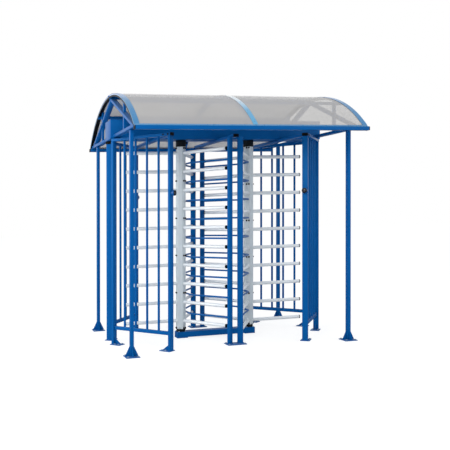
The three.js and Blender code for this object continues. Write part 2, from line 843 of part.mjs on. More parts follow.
for (const [name, angle] of purlins)
  place(turnstile, `purlin_${name}`, purlin(angle, roof_half_length), deep_blue);

// Gable trusses: a tie either side of the housing, two rafters and two struts. The apex is a saddle
// for the ridge purlin.
function gable() {
  const half = truss_width / 2;
  const housing_side = housing_half_depth + fit_gap;
  const foot_y = arch_foot_y - rafter_setback;
  const foot_z = seat_z + tie_height / 2;
  const apex_z = crown_z - rafter_drop;
  const run = Math.hypot(foot_y, apex_z - foot_z);
  const slope = Math.atan2(apex_z - foot_z, foot_y);
  const strut_y = strut_share * arch_foot_y;
  const pieces = [];
  for (const sy of [-1, 1]) {
    const tie_ends = [sy * housing_side, sy * arch_foot_y].sort((a, b) => a - b);
    pieces.push(block([-half, half], tie_ends, [seat_z, seat_z + tie_height]));
    const rafter = new THREE.BoxGeometry(truss_width, run, rafter_height);
    rafter.rotateX(-sy * slope).translate(0, (sy * foot_y) / 2, (apex_z + foot_z) / 2);
    pieces.push(solidOf(rafter));
    const strut_ends = [sy * strut_y - strut_depth / 2, sy * strut_y + strut_depth / 2];
    pieces.push(block([-strut_width / 2, strut_width / 2], strut_ends, [seat_z, crown_z]));
  }
  pieces.push(block([-half, half], [-purlin_size, purlin_size], [apex_z - rafter_height / 2, crown_z]));
  const roof_space = section(
    [...arc(under_seal, arch_half_angle).reverse(), [-arch_foot_y, 0], [arch_foot_y, 0]],
    -truss_width,
    truss_width,
  );
  const saddle = purlin(0, truss_width, fit_gap, cut_over);
  return cutLevel(carve(fuse(pieces).intersect(roof_space), [saddle]));
}

for (const [side, sx] of [["left", -1], ["right", 1]])
  place(frameAt(sx * canopy_post_x, 0, 0), `gable_${side}`, gable(), blue);

// Middle rib under the joint of the sheets, notched for the purlins
const rib = band(arch_radius - rib_depth, under_sheet, seal_half_angle, -rib_width / 2, rib_width / 2);
const rib_notches = purlins.map(([, angle]) => purlin(angle, rib_width, fit_gap, cut_over));
place(turnstile, "middle_rib", cutLevel(carve(rib, rib_notches)), deep_blue);

export default turnstile;
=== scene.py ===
import bpy
import math
from mathutils import Matrix, Vector


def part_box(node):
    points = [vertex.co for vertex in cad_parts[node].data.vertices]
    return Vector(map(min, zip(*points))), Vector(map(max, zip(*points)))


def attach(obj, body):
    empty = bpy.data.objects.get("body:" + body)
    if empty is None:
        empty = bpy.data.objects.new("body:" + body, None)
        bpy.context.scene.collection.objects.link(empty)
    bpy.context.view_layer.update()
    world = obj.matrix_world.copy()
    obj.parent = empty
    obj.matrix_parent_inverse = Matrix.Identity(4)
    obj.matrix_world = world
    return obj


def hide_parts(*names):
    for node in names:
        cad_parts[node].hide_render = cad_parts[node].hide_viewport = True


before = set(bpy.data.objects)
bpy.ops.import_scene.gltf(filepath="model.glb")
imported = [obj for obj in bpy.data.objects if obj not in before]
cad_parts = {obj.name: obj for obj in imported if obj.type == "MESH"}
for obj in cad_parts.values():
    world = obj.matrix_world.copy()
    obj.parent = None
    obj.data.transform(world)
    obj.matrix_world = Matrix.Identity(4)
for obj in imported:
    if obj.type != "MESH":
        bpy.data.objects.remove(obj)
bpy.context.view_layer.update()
scene = bpy.context.scene

# Camera
# A long lens from the front left, a little above half height. The picture is a crop from the right
# of a wider one, so the lens is shifted, and a slight shear lets the uprights lean as they do there.
yaw, pitch, roll = math.radians(14.275), math.radians(0.392), math.radians(0.0814)
ahead = Vector((math.sin(yaw) * math.cos(pitch), math.cos(yaw) * math.cos(pitch), -math.sin(pitch)))
level = Vector((math.cos(yaw), -math.sin(yaw), 0))
down = ahead.cross(level)
across = math.cos(roll) * level + math.sin(roll) * down
below = math.cos(roll) * down - math.sin(roll) * level
stand = bpy.data.objects.new("camera_stand", None)
scene.collection.objects.link(stand)
turn = Matrix((across, -below, -ahead)).transposed().to_4x4()
eye = (-2.8402, -7.4456, 1.4054)
stand.matrix_world = Matrix.Translation(eye) @ turn
lens = bpy.data.cameras.new("camera")
lens.lens = 55.273
lens.sensor_width = 36
lens.shift_x = 0.20
lens.shift_y = -0.01305
lens.clip_end = 200
camera = bpy.data.objects.new("camera", lens)
scene.collection.objects.link(camera)
camera.parent = stand
lean = Matrix.Identity(4)
lean[1][0] = -0.0249  # metres down for each metre to the right
camera.matrix_parent_inverse = lean
scene.camera = camera
scene.view_settings.view_transform = "Standard"

# Studio
# A pale floor under an even sky, with broad soft lamps from the front left and from the left side
# and a weaker one from the right. The camera and glass see plain white. Gloss sees it behind and
# above the turnstile, and a dim hall and a dark floor on the near side, so the paint keeps its depth.
sky = bpy.data.worlds.new("sky")
scene.world = sky
sky.use_nodes = True
nodes, links = sky.node_tree.nodes, sky.node_tree.links
nodes.clear()


def sky_light(colour, strength):
    light = nodes.new("ShaderNodeBackground")
    light.inputs["Color"].default_value = (*colour, 1)
    light.inputs["Strength"].default_value = strength
    return light


seen = nodes.new("ShaderNodeLightPath")
plain_view = nodes.new("ShaderNodeMath")
plain_view.operation = "MAXIMUM"
links.new(seen.outputs["Is Camera Ray"], plain_view.inputs[0])
links.new(seen.outputs["Is Transmission Ray"], plain_view.inputs[1])
soft_sky = sky_light((0.93, 0.96, 1.0), 0.74)
white_sky = sky_light((1, 1, 1), 1.0)
hall = sky_light((1, 1, 1), 1.0)
direction = nodes.new("ShaderNodeTexCoord")
axes = nodes.new("ShaderNodeSeparateXYZ")
links.new(direction.outputs["Generated"], axes.inputs[0])
raised = nodes.new("ShaderNodeMath")
raised.operation = "MULTIPLY_ADD"
raised.inputs[1].default_value = 0.7
links.new(axes.outputs["Z"], raised.inputs[0])
links.new(axes.outputs["Y"], raised.inputs[2])
brightness = nodes.new("ShaderNodeMapRange")
brightness.interpolation_type = "SMOOTHSTEP"
brightness.inputs["From Min"].default_value = -0.35
brightness.inputs["From Max"].default_value = 0.55
brightness.inputs["To Min"].default_value = 0.05
brightness.inputs["To Max"].default_value = 1.0
links.new(raised.outputs[0], brightness.inputs["Value"])
links.new(brightness.outputs["Result"], hall.inputs["Strength"])
gloss_or_soft = nodes.new("ShaderNodeMixShader")
links.new(seen.outputs["Is Glossy Ray"], gloss_or_soft.inputs["Fac"])
links.new(soft_sky.outputs[0], gloss_or_soft.inputs[1])
links.new(hall.outputs[0], gloss_or_soft.inputs[2])
which_sky = nodes.new("ShaderNodeMixShader")
links.new(plain_view.outputs[0], which_sky.inputs["Fac"])
links.new(gloss_or_soft.outputs[0], which_sky.inputs[1])
links.new(white_sky.outputs[0], which_sky.inputs[2])
out = nodes.new("ShaderNodeOutputWorld")
links.new(which_sky.outputs[0], out.inputs["Surface"])

for lamp_name, place, power, size in (
    ("key_lamp", (-4.6, -6.2, 4.6), 240, 3.5),
    ("side_lamp", (-6.5, 0.6, 2.4), 160, 4.0),
    ("fill_lamp", (5.5, -4.5, 3.5), 70, 4.0),
):
    lamp = bpy.data.lights.new(lamp_name, "AREA")
    lamp.energy = power
    lamp.size = size
    lamp.specular_factor = 0.15
    holder = bpy.data.objects.new(lamp_name, lamp)
    holder.location = place
    holder.rotation_euler = (Vector((0, 0, 1.3)) - Vector(place)).to_track_quat("-Z", "Y").to_euler()
    scene.collection.objects.link(holder)

bpy.ops.object.select_all(action="DESELECT")
bpy.ops.mesh.primitive_plane_add(size=80, location=(0, 0, 0))
floor = bpy.context.object
floor.name = "floor"
paving = bpy.data.materials.new("pale_floor")
paving.use_nodes = True
nodes, links = paving.node_tree.nodes, paving.node_tree.links
plain = nodes["Principled BSDF"]
plain.inputs["Roughness"].default_value = 0.9
plain.inputs["Specular IOR Level"].default_value = 0.2
glow = nodes.new("ShaderNodeEmission")
glow.inputs["Strength"].default_value = 1.25
seen = nodes.new("ShaderNodeLightPath")
shade = nodes.new("ShaderNodeMix")
shade.data_type = "RGBA"
shade.inputs["A"].default_value = (0.86, 0.86, 0.86, 1)
shade.inputs["B"].default_value = (0.16, 0.17, 0.18, 1)
links.new(seen.outputs["Is Glossy Ray"], shade.inputs["Factor"])
links.new(shade.outputs["Result"], plain.inputs["Base Color"])
white_share = nodes.new("ShaderNodeMath")
white_share.operation = "MULTIPLY"
white_share.inputs[1].default_value = 0.62
links.new(seen.outputs["Is Camera Ray"], white_share.inputs[0])
blend = nodes.new("ShaderNodeMixShader")
links.new(white_share.outputs[0], blend.inputs["Fac"])
links.new(plain.outputs[0], blend.inputs[1])
links.new(glow.outputs[0], blend.inputs[2])
links.new(blend.outputs[0], nodes["Material Output"].inputs["Surface"])
floor.data.materials.append(paving)

# Blue powder coat
# Cage, housing and canopy steel are dipped in one satin powder coat. It has a fine orange peel,
# clouds very slightly, and has a pale bluish film on what faces up: dust and a painted reflection of the sky.


def input_socket(tree, name, value, kind="NodeSocketFloat"):
    socket = tree.interface.new_socket(name, in_out="INPUT", socket_type=kind)
    socket.default_value = value


def noise(tree, place, scale, detail):
    """Noise through the piece, or through a mapped or stretched place."""
    made = tree.nodes.new("ShaderNodeTexNoise")
    made.inputs["Scale"].default_value = scale
    made.inputs["Detail"].default_value = detail
    tree.links.new(place, made.inputs["Vector"])
    return made


def spread(tree, value, low, high, start=0.0, end=1.0):
    """A value from start to end, spread from low to high."""
    made = tree.nodes.new("ShaderNodeMapRange")
    made.inputs["From Min"].default_value = start
    made.inputs["From Max"].default_value = end
    made.inputs["To Min"].default_value = low
    made.inputs["To Max"].default_value = high
    tree.links.new(value, made.inputs["Value"])
    return made


def combined(tree, operation, first, second):
    made = tree.nodes.new("ShaderNodeMath")
    made.operation = operation
    tree.links.new(first, made.inputs[0])
    tree.links.new(second, made.inputs[1])
    return made.outputs[0]


def colour_mix(tree, share, first, second):
    """Two colours mixed by a share; each is a colour or a socket."""
    made = tree.nodes.new("ShaderNodeMix")
    made.data_type = "RGBA"
    for name, given in (("Factor", share), ("A", first), ("B", second)):
        if isinstance(given, (float, tuple)):
            made.inputs[name].default_value = given
        else:
            tree.links.new(given, made.inputs[name])
    return made


def bumped(tree, shader, height, strength, distance):
    bump = tree.nodes.new("ShaderNodeBump")
    bump.inputs["Strength"].default_value = strength
    bump.inputs["Distance"].default_value = distance
    tree.links.new(height, bump.inputs["Height"])
    tree.links.new(bump.outputs["Normal"], shader.inputs["Normal"])


def clouded_coat():
    tree = bpy.data.node_groups.new("clouded_coat", "ShaderNodeTree")
    input_socket(tree, "Colour", (0.5, 0.5, 0.5, 1), "NodeSocketColor")
    input_socket(tree, "Dust and sheen", 0.1)
    input_socket(tree, "Roughness", 0.4)
    input_socket(tree, "Peel size", 900.0)
    tree.interface.new_socket("Colour", in_out="OUTPUT", socket_type="NodeSocketColor")
    tree.interface.new_socket("Roughness", in_out="OUTPUT", socket_type="NodeSocketFloat")
    tree.interface.new_socket("Peel", in_out="OUTPUT", socket_type="NodeSocketFloat")
    nodes, links = tree.nodes, tree.links
    given = nodes.new("NodeGroupInput")
    made = nodes.new("NodeGroupOutput")
    place = nodes.new("ShaderNodeTexCoord").outputs["Object"]
    clouds = noise(tree, place, 3.2, 5)
    shade = spread(tree, clouds.outputs["Fac"], 0.92, 1.07)
    tinted = colour_mix(tree, 1.0, given.outputs["Colour"], shade.outputs["Result"])
    tinted.blend_type = "MULTIPLY"
    # dust lies in patches on what faces up, and the same pale bluish film paints a reflection of the sky on
    # the tops
    facing = nodes.new("ShaderNodeNewGeometry")
    upward = nodes.new("ShaderNodeSeparateXYZ")
    links.new(facing.outputs["Normal"], upward.inputs[0])
    lying = spread(tree, upward.outputs["Z"], 0.0, 1.0, 0.55, 1.0)
    patches = noise(tree, place, 26.0, 6)
    dust_and_sheen_film = combined(tree, "MULTIPLY", lying.outputs["Result"], patches.outputs["Fac"])
    dust_and_sheen = combined(tree, "MULTIPLY", dust_and_sheen_film, given.outputs["Dust and sheen"])
    dust_and_sheen_colour = colour_mix(tree, dust_and_sheen, tinted.outputs["Result"], (0.36, 0.43, 0.50, 1))
    links.new(dust_and_sheen_colour.outputs["Result"], made.inputs["Colour"])
    rough = spread(tree, patches.outputs["Fac"], -0.05, 0.07)
    rougher = combined(tree, "ADD", rough.outputs["Result"], given.outputs["Roughness"])
    links.new(combined(tree, "ADD", rougher, dust_and_sheen), made.inputs["Roughness"])
    peel = noise(tree, place, 5.0, 2)
    links.new(given.outputs["Peel size"], peel.inputs["Scale"])
    links.new(peel.outputs["Fac"], made.inputs["Peel"])
    return tree


coat_group = clouded_coat()


def coated(name, colour, roughness, dust_and_sheen, peel_size=900.0, peel_depth=0.08, metallic=0.0, gloss=0.5,
           coat=0.0, gloss_tint=(1, 1, 1)):
    """A material with the clouded coat; gloss_tint colours its reflections."""
    made = bpy.data.materials.new(name)
    made.use_nodes = True
    nodes, links = made.node_tree.nodes, made.node_tree.links
    shader = nodes["Principled BSDF"]
    skin = nodes.new("ShaderNodeGroup")
    skin.node_tree = coat_group
    skin.inputs["Colour"].default_value = (*colour, 1)
    # the pale film on upward faces: dust, and a painted reflection of the sky on the tops
    skin.inputs["Dust and sheen"].default_value = dust_and_sheen
    skin.inputs["Roughness"].default_value = roughness
    skin.inputs["Peel size"].default_value = peel_size
    links.new(skin.outputs["Colour"], shader.inputs["Base Color"])
    links.new(skin.outputs["Roughness"], shader.inputs["Roughness"])
    bumped(made.node_tree, shader, skin.outputs["Peel"], peel_depth, 0.0004)
    shader.inputs["Metallic"].default_value = metallic
    shader.inputs["Specular IOR Level"].default_value = gloss
    shader.inputs["Specular Tint"].default_value = (*gloss_tint, 1)
    shader.inputs["Coat Weight"].default_value = coat
    shader.inputs["Coat Roughness"].default_value = 0.2
    return made


blue_coat = coated("blue_powder_coat", (0.002, 0.092, 0.320), 0.32, 0.30, gloss=0.14,
                   gloss_tint=(0.25, 0.75, 1.0))
black_moulding = coated("black_moulding", (0.0035, 0.0075, 0.0090), 0.5, 0.03, 1400.0, 0.2, gloss=0.3)
black_plug = coated("black_plug", (0.0012, 0.0013, 0.0015), 0.55, 0.0, 1400.0, 0.1, gloss=0.15)
bolt_steel = coated("bolt_steel", (0.30, 0.42, 0.56), 0.35, 0.05, 700.0, 0.05, metallic=0.5)

# Barred panels
# Each is one weldment of rectangular tube: a corner post, a lane post, a flat top rail, a lower
# rail on edge and four round bars between them, on two gusseted feet held by anchor bolts.


def alone(piece=None):
    bpy.ops.object.select_all(action="DESELECT")
    if piece:
        piece.select_set(True)
        bpy.context.view_layer.objects.active = piece


def bevelled(piece, width, segments=2, angle=None):
    """The piece's edges rounded: those sharper than an angle in degrees, or all of them."""
    bevel = piece.modifiers.new("edge", "BEVEL")
    bevel.width = width
    bevel.segments = segments
    bevel.limit_method = "ANGLE" if angle else "NONE"
    if angle:
        bevel.angle_limit = math.radians(angle)
    bpy.ops.object.modifier_apply(modifier=bevel.name)


def tube(low, high, edge=0.003, turn_z=0.0, pivot=(0, 0)):
    """A rectangular tube between two corners, its edges rounded, turned about an upright pivot."""
    alone()
    middle = [(a + b) / 2 for a, b in zip(low, high)]
    size = [b - a for a, b in zip(low, high)]
    bpy.ops.mesh.primitive_cube_add(size=1, location=middle, scale=size)
    made = bpy.context.object
    bpy.ops.object.transform_apply(location=True, rotation=True, scale=True)
    bevelled(made, edge, 3)
    if turn_z:
        about = Matrix.Translation((*pivot, 0))
        made.data.transform(about @ Matrix.Rotation(turn_z, 4, "Z") @ about.inverted())
    return made


def rod(start, end, radius, sides=20, edge=0.0):
    """A round bar between two points."""
    alone()
    start, end = Vector(start), Vector(end)
    along = end - start
    bpy.ops.mesh.primitive_cylinder_add(vertices=sides, radius=radius, depth=along.length)
    made = bpy.context.object
    if edge:
        bevelled(made, edge, angle=60)
    aim = along.to_track_quat("Z", "Y").to_matrix().to_4x4()
    made.data.transform(Matrix.Translation((start + end) / 2) @ aim)
    return made


def joined(name, parts, smooth=35):
    """Several shapes made one piece, smooth but for its edges."""
    alone()
    for part in parts:
        part.select_set(True)
    bpy.context.view_layer.objects.active = parts[0]
    if len(parts) > 1:
        bpy.ops.object.join()
    made = bpy.context.object
    made.name = made.data.name = name
    bpy.ops.object.shade_smooth_by_angle(angle=math.radians(smooth))
    return made


def finished(piece, material, body="frame", stands_for=()):
    """Gives a piece its material and the body it rides, and hides the nodes it stands for."""
    piece.data.materials.clear()
    piece.data.materials.append(material)
    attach(piece, body)
    if stands_for:
        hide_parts(*stands_for)


def copied(piece, name, place):
    """A copy with its own mesh, put in place by a matrix."""
    made = piece.copy()
    made.data = piece.data.copy()
    made.name = made.data.name = name
    made.data.transform(place)
    scene.collection.objects.link(made)
    return made


def drawn_out(name, points, way):
    """A flat outline of points drawn out along a way, and closed."""
    mesh = bpy.data.meshes.new(name)
    mesh.from_pydata(points, [], [range(len(points))])
    made = bpy.data.objects.new(name, mesh)
    scene.collection.objects.link(made)
    alone(made)
    bpy.ops.object.mode_set(mode="EDIT")
    bpy.ops.mesh.select_all(action="SELECT")
    bpy.ops.mesh.extrude_region_move(TRANSFORM_OT_translate={"value": way})
    bpy.ops.mesh.select_all(action="SELECT")
    bpy.ops.mesh.normals_make_consistent(inside=False)
    bpy.ops.object.mode_set(mode="OBJECT")
    return made


def wedge(outline, thickness):
    """A flat plate from an outline in XZ, its middle on Y zero."""
    return drawn_out("plate", [(x, -thickness / 2, z) for x, z in outline], (0, thickness, 0))


def hex_bolt(head=0.0095, height=0.007, washer=0.012):
    """A hexagon head on a washer, seated at the origin and pointing up."""
    seat = 0.0016
    disc = rod((0, 0, 0), (0, 0, seat), washer, 20, 0.0004)
    alone()
    bpy.ops.mesh.primitive_cylinder_add(vertices=6, radius=head, depth=height,
                                        location=(0, 0, seat + height / 2))
    nut = bpy.context.object
    bpy.ops.object.transform_apply(location=True, rotation=True, scale=True)
    bevelled(nut, 0.0009, angle=30)
    return joined("bolt", [disc, nut])


def spots_filled(pattern, places):
    """A copy of the pattern at each place, given as a point or as a matrix."""
    return [copied(pattern, "copy", Matrix.Translation(place) if isinstance(place, tuple) else place)
            for place in places]


bolt_pattern = hex_bolt()

span_x, span_y = 0.458, 0.597  # from post to post, along the housing and across it
span = math.hypot(span_x, span_y)
post_top, frame_top = 2.199, 2.229
half_deep, half_wide = 0.015, 0.030  # half the section of the cage's posts and rails
low_rail, low_rail_top = 0.163, 0.201
plate_top, plate_edge = 0.008, 0.0015
plate_out, plate_in, plate_half = 0.020, 0.110, 0.050  # from the post's middle
bite = 0.0005  # what one piece runs into the next
plug_proud, plug_depth, plug_edge = 0.0012, 0.0070, 0.0020
weld_radius, weld_edge, weld_top = 0.0148, 0.0012, 0.0105
bar_radius = 0.0125
parts = []
for x in (0, span):
    parts.append(tube((x - half_deep, -half_wide, plate_top), (x + half_deep, half_wide, post_top + 0.001)))
parts.append(tube((-half_deep, -half_wide, post_top), (span + half_deep, half_wide, frame_top)))
parts.append(tube((0, -half_deep, low_rail), (span, half_deep, low_rail_top)))
for i in range(1, 5):
    x = span * i / 5
    parts.append(rod((x, 0, 0.19), (x, 0, 2.21), bar_radius, 24))
    # a fillet of weld where each bar meets a rail
    for below, above in ((low_rail_top - bite, low_rail_top + 0.0025), (post_top - 0.003, post_top + bite)):
        parts.append(rod((x, 0, below), (x, 0, above), weld_radius, 20, weld_edge))
for x, inward in ((0, 1), (span, -1)):
    ends = sorted((x - inward * plate_out, x + inward * plate_in))
    parts.append(tube((ends[0], -plate_half, 0), (ends[1], plate_half, plate_top), plate_edge))
    # the gusset, and the weld round the foot of the post
    root = x + inward * 0.014
    parts.append(wedge([(root, 0.007), (root + inward * 0.080, 0.007), (root + inward * 0.080, 0.012),
                        (root + inward * 0.006, 0.068), (root, 0.068)], 0.006))
    parts.append(tube((x - 0.017, -0.032, plate_top - bite), (x + 0.017, 0.032, weld_top), weld_edge))
panel_pattern = joined("panel_pattern", parts)
panel_anchors = joined("panel_anchors_pattern", spots_filled(bolt_pattern, [
    (x + inward * along, side, plate_top)
    for x, inward in ((0, 1), (span, -1)) for along in (0.040, 0.088) for side in (-0.034, 0.034)]))

# a plug closes each open end of the top rail, and two caps cover the bolts in its outer side
rail_end = span + half_deep
plug_ends = (rail_end - bite, rail_end + plug_depth), (-half_deep - plug_depth, -half_deep + bite)
rail_plugs = joined("rail_plugs_pattern", [
    tube((near, -half_wide - plug_proud, post_top - plug_proud),
         (far, half_wide + plug_proud, frame_top + plug_proud), plug_edge) for near, far in plug_ends])
cap_z = (post_top + frame_top) / 2
rail_caps = joined("rail_caps_pattern", [
    rod((x, half_wide - bite, cap_z), (x, half_wide + 0.0045, cap_z), 0.0105, 24, 0.0012)
    for x in (0.680, 0.740)])

corner_x, corner_y = 1.212, 0.120
panel_place = {}
for side, sx in (("left", -1), ("right", 1)):
    for row, sy in (("front", -1), ("back", 1)):
        lean_z = math.atan2(span_y, span_x)
        turn_z = sy * lean_z if sx < 0 else sy * (math.pi - lean_z)
        place = Matrix.Translation((sx * corner_x, sy * corner_y, 0)) @ Matrix.Rotation(turn_z, 4, "Z")
        panel_place[row, side] = place
        name = f"{row}_{side}"
        finished(copied(panel_pattern, f"barred_panel_{name}", place), blue_coat,
                 stands_for=[f"panel_{name}"])
        finished(copied(panel_anchors, f"panel_anchors_{name}", place), bolt_steel)
        finished(copied(rail_plugs, f"rail_plugs_{name}", place), black_plug)
        outer = Matrix.Scale(-sy * sx, 4, (0, 1, 0))  # the caps sit on the side away from the lane
        caps = copied(rail_caps, f"rail_caps_{name}", place @ outer)
        if sy * sx > 0:
            caps.data.flip_normals()
        finished(caps, black_plug)
for pattern in (panel_pattern, panel_anchors, rail_plugs, rail_caps):
    bpy.data.objects.remove(pattern)

# Combs
# Nine round bars bent to a shallow bow stand between a front and a back middle post, so that the
# wings pass between the bars and nobody can. Bars and posts are one weldment, coated blue.


def bent_bar(corners, radius, bend, sides):
    """A round bar along corners, each rounded to a bend, its ends cut square."""
    points = [Vector(corners[0])]
    for before, corner, after in zip(corners, corners[1:], corners[2:]):
        corner = Vector(corner)
        come, go = (Vector(before) - corner).normalized(), (Vector(after) - corner).normalized()
        half = (math.pi - come.angle(go)) / 2
        setback = bend * math.tan(half)
        centre = corner + (come + go).normalized() * (bend / math.cos(half))
        first, last = corner + come * setback - centre, corner + go * setback - centre
        for i in range(9):
            points.append(centre + first.slerp(last, i / 8).normalized() * bend)
    points.append(Vector(corners[-1]))
    route = bpy.data.curves.new("bar", "CURVE")
    route.dimensions = "3D"
    route.bevel_depth = radius
    route.bevel_resolution = sides // 4 - 2
    route.use_fill_caps = True
    spline = route.splines.new("POLY")
    spline.points.add(len(points) - 1)
    for spot, point in zip(spline.points, points):
        spot.co = (*point, 1)
    made = bpy.data.objects.new("bar", route)
    scene.collection.objects.link(made)
    alone(made)
    bpy.ops.object.convert(target="MESH")
    return bpy.context.object


mid_x, mid_y, bow_x, bow_y = 0.0587, 0.593, 0.342, 0.160
comb_turn = math.atan2(bow_x - mid_x, mid_y - bow_y)
arm_pitch, top_arm, top_bar = 0.210, 2.084, 1.965
bar = bent_bar([(mid_x, -mid_y, 0), (bow_x, -bow_y, 0), (bow_x, bow_y, 0), (mid_x, mid_y, 0)],
               0.010, 0.090, 20)
into_bow = Vector((bow_x - mid_x, mid_y - bow_y, 0)).normalized()
parts = []
for i in range(9):
    z = top_bar - arm_pitch * i
    parts.append(copied(bar, "bar", Matrix.Translation((0, 0, z))))
    for sy in (-1, 1):
        # the bead of weld round the bar on the post's face
        way = Vector((into_bow.x, -sy * into_bow.y, 0))
        face = Vector((mid_x, sy * mid_y, z)) + way * 0.0152
        parts.append(rod(face - way * 0.001, face + way * 0.003, 0.0122, 20, weld_edge))
bpy.data.objects.remove(bar)
for sy in (-1, 1):
    # the post, and the weld round its foot
    boxes = (half_wide, half_deep, post_top, 0.003), (0.033, 0.018, weld_top, weld_edge)
    for wide, deep, top, edge in boxes:
        parts.append(tube((mid_x - wide, sy * mid_y - deep, plate_top - bite),
                          (mid_x + wide, sy * mid_y + deep, top), edge, sy * comb_turn, (mid_x, sy * mid_y)))
comb_pattern = joined("comb_pattern", parts)
for side, turn_z in (("left", math.pi), ("right", 0)):
    finished(copied(comb_pattern, f"bent_bar_comb_{side}", Matrix.Rotation(turn_z, 4, "Z")), blue_coat,
             stands_for=[f"comb_{side}"])
bpy.data.objects.remove(comb_pattern)

# Middle base plates
# The two middle posts of a side share one thick plate on the floor, held by four anchor bolts.
for row, sy in (("front", -1), ("back", 1)):
    low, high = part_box(f"mid_plate_{row}")
    finished(joined(f"shared_plate_{row}", [tube(low, high, plate_edge)]), blue_coat,
             stands_for=[f"mid_plate_{row}"])
    spots = [(x, y, plate_top) for x in (-0.088, 0.088) for y in (low[1] + 0.017, high[1] - 0.017)]
    finished(joined(f"shared_plate_anchors_{row}", spots_filled(bolt_pattern, spots)), bolt_steel)

# Ties
# Three flat tubes along the way through carry the housing: one over the middle posts, with plugged
# ends, and one over each pair of lane posts, cut to the slant of the panels' top rails.
low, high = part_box("tie_middle")
finished(joined("tie_between_combs", [tube(low, high)]), blue_coat,
         stands_for=["tie_middle"])
parts = []
for sy in (-1, 1):
    ends = sorted((sy * (high[1] - bite), sy * (high[1] + plug_depth)))
    parts.append(tube((low[0] - plug_proud, ends[0], low[2] - plug_proud),
                      (high[0] + plug_proud, ends[1], high[2] + plug_proud), plug_edge))
finished(joined("tie_plugs", parts), black_plug)


def softened(node, edge):
    """A copy of a solid whose straight edges are slightly rounded, as on rolled or folded steel."""
    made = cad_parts[node].copy()
    made.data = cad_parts[node].data.copy()
    for key in [k for k in made.keys() if k.startswith("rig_")]:
        del made[key]
    made.parent = None
    made.matrix_world = Matrix.Identity(4)
    made.name = made.data.name = f"{node}_soft"
    scene.collection.objects.link(made)
    alone(made)
    bpy.ops.object.mode_set(mode="EDIT")
    bpy.ops.mesh.select_all(action="SELECT")
    bpy.ops.mesh.remove_doubles(threshold=0.00001)
    bpy.ops.mesh.dissolve_limited(angle_limit=math.radians(1))
    bpy.ops.object.mode_set(mode="OBJECT")
    bevelled(made, edge, angle=40)
    return joined(made.name, [made])


for node in ("tie_left", "tie_right"):
    finished(softened(node, 0.0025), blue_coat, stands_for=[node])

# Floor beam
# A shallow folded channel, closed at its ends, carries both rotors on a pad under each.
finished(softened("base_beam", 0.003), blue_coat, stands_for=["base_beam"])
spots = [(sx * x, y, 0.070) for sx in (-1, 1) for x in (0.372, 0.448) for y in (-0.043, 0.043)]
finished(joined("floor_beam_bolts", spots_filled(bolt_pattern, spots)), bolt_steel)

# Rotors
# Each rotor is a steel shaft with three wings bolted round it. A wing is ten bright satin tubes on
# a third of an extruded, fluted hub, bolted through in pairs, with a black plug in each tube's end.


def satin_metal(name, colour, roughness, metallic, grain_scale, stretch, depth):
    """Bright drawn metal: fine lines along one way, and a cloudy sheen."""
    made = bpy.data.materials.new(name)
    made.use_nodes = True
    tree = made.node_tree
    nodes, links = tree.nodes, tree.links
    shader = nodes["Principled BSDF"]
    place = nodes.new("ShaderNodeTexCoord").outputs["Object"]
    drawn = nodes.new("ShaderNodeMapping")
    drawn.inputs["Scale"].default_value = stretch
    links.new(place, drawn.inputs["Vector"])
    lines = noise(tree, drawn.outputs["Vector"], grain_scale, 4)
    clouds = noise(tree, place, 5.0, 4)
    darker = (*[c * 0.92 for c in colour], 1)
    lighter = (*[min(1.0, c * 1.07) for c in colour], 1)
    shade = colour_mix(tree, clouds.outputs["Fac"], darker, lighter)
    links.new(shade.outputs["Result"], shader.inputs["Base Color"])
    rough = spread(tree, lines.outputs["Fac"], roughness - 0.06, roughness + 0.08)
    links.new(rough.outputs["Result"], shader.inputs["Roughness"])
    bumped(tree, shader, lines.outputs["Fac"], depth, 0.0003)
    shader.inputs["Metallic"].default_value = metallic
    return made


arm_metal = satin_metal("satin_arm_tube", (0.85, 0.885, 0.90), 0.30, 0.15, 60.0, (0.2, 1, 1), 0.03)
hub_metal = satin_metal("satin_hub_alloy", (0.69, 0.755, 0.78), 0.34, 0.20, 60.0, (1, 1, 0.2), 0.05)
turned_steel = satin_metal("turned_steel", (0.40, 0.41, 0.42), 0.30, 0.9, 40.0, (1, 1, 14), 0.15)

rotor_x = 0.410
hub_low, hub_high = 0.0962, 2.1536
arm_root, arm_end, arm_radius, plug_seat = 0.046, 0.6472, 0.019, 0.650
lip_face, flute_y = 0.0518, 0.0132


def hub_third():
    """A third of the hub, its wing's flat facing +X: drawn out upright, its corners rounded."""
    seam, seam_radius, bore_radius, seam_gap = math.pi / 3, 0.0470, 0.0245, 0.00015
    front = [(0.052, 0.0088), (0.0472, 0.0112), (0.0472, 0.0192), (0.052, 0.0214), (0.0478, 0.0262),
             (0.0440, 0.0310), (0.0345, 0.0365), (seam_radius * math.cos(seam), seam_radius * math.sin(seam))]
    round_bore = [seam * (1 - i / 6) for i in range(13)]
    bore = [(bore_radius * math.cos(a), bore_radius * math.sin(a)) for a in round_bore]
    outline = [(x, -y) for x, y in reversed(front)] + front + bore
    shim = seam_gap / math.sin(seam)
    made = drawn_out("hub", [(x + shim, y, hub_low) for x, y in outline], (0, 0, hub_high - hub_low))
    bevelled(made, 0.0007, 1, 28)
    return made


def spun(name, points, axis, steps):
    """A line of points spun about an axis through the origin, and closed."""
    mesh = bpy.data.meshes.new(name)
    mesh.from_pydata(points, [(i, i + 1) for i in range(len(points) - 1)], [])
    made = bpy.data.objects.new(name, mesh)
    scene.collection.objects.link(made)
    alone(made)
    bpy.ops.object.mode_set(mode="EDIT")
    bpy.ops.mesh.select_all(action="SELECT")
    bpy.ops.mesh.spin(steps=steps, angle=2 * math.pi, center=(0, 0, 0), axis=axis)
    bpy.ops.mesh.select_all(action="SELECT")
    bpy.ops.mesh.remove_doubles(threshold=0.00002)
    bpy.ops.mesh.normals_make_consistent(inside=False)
    bpy.ops.object.mode_set(mode="OBJECT")
    return made


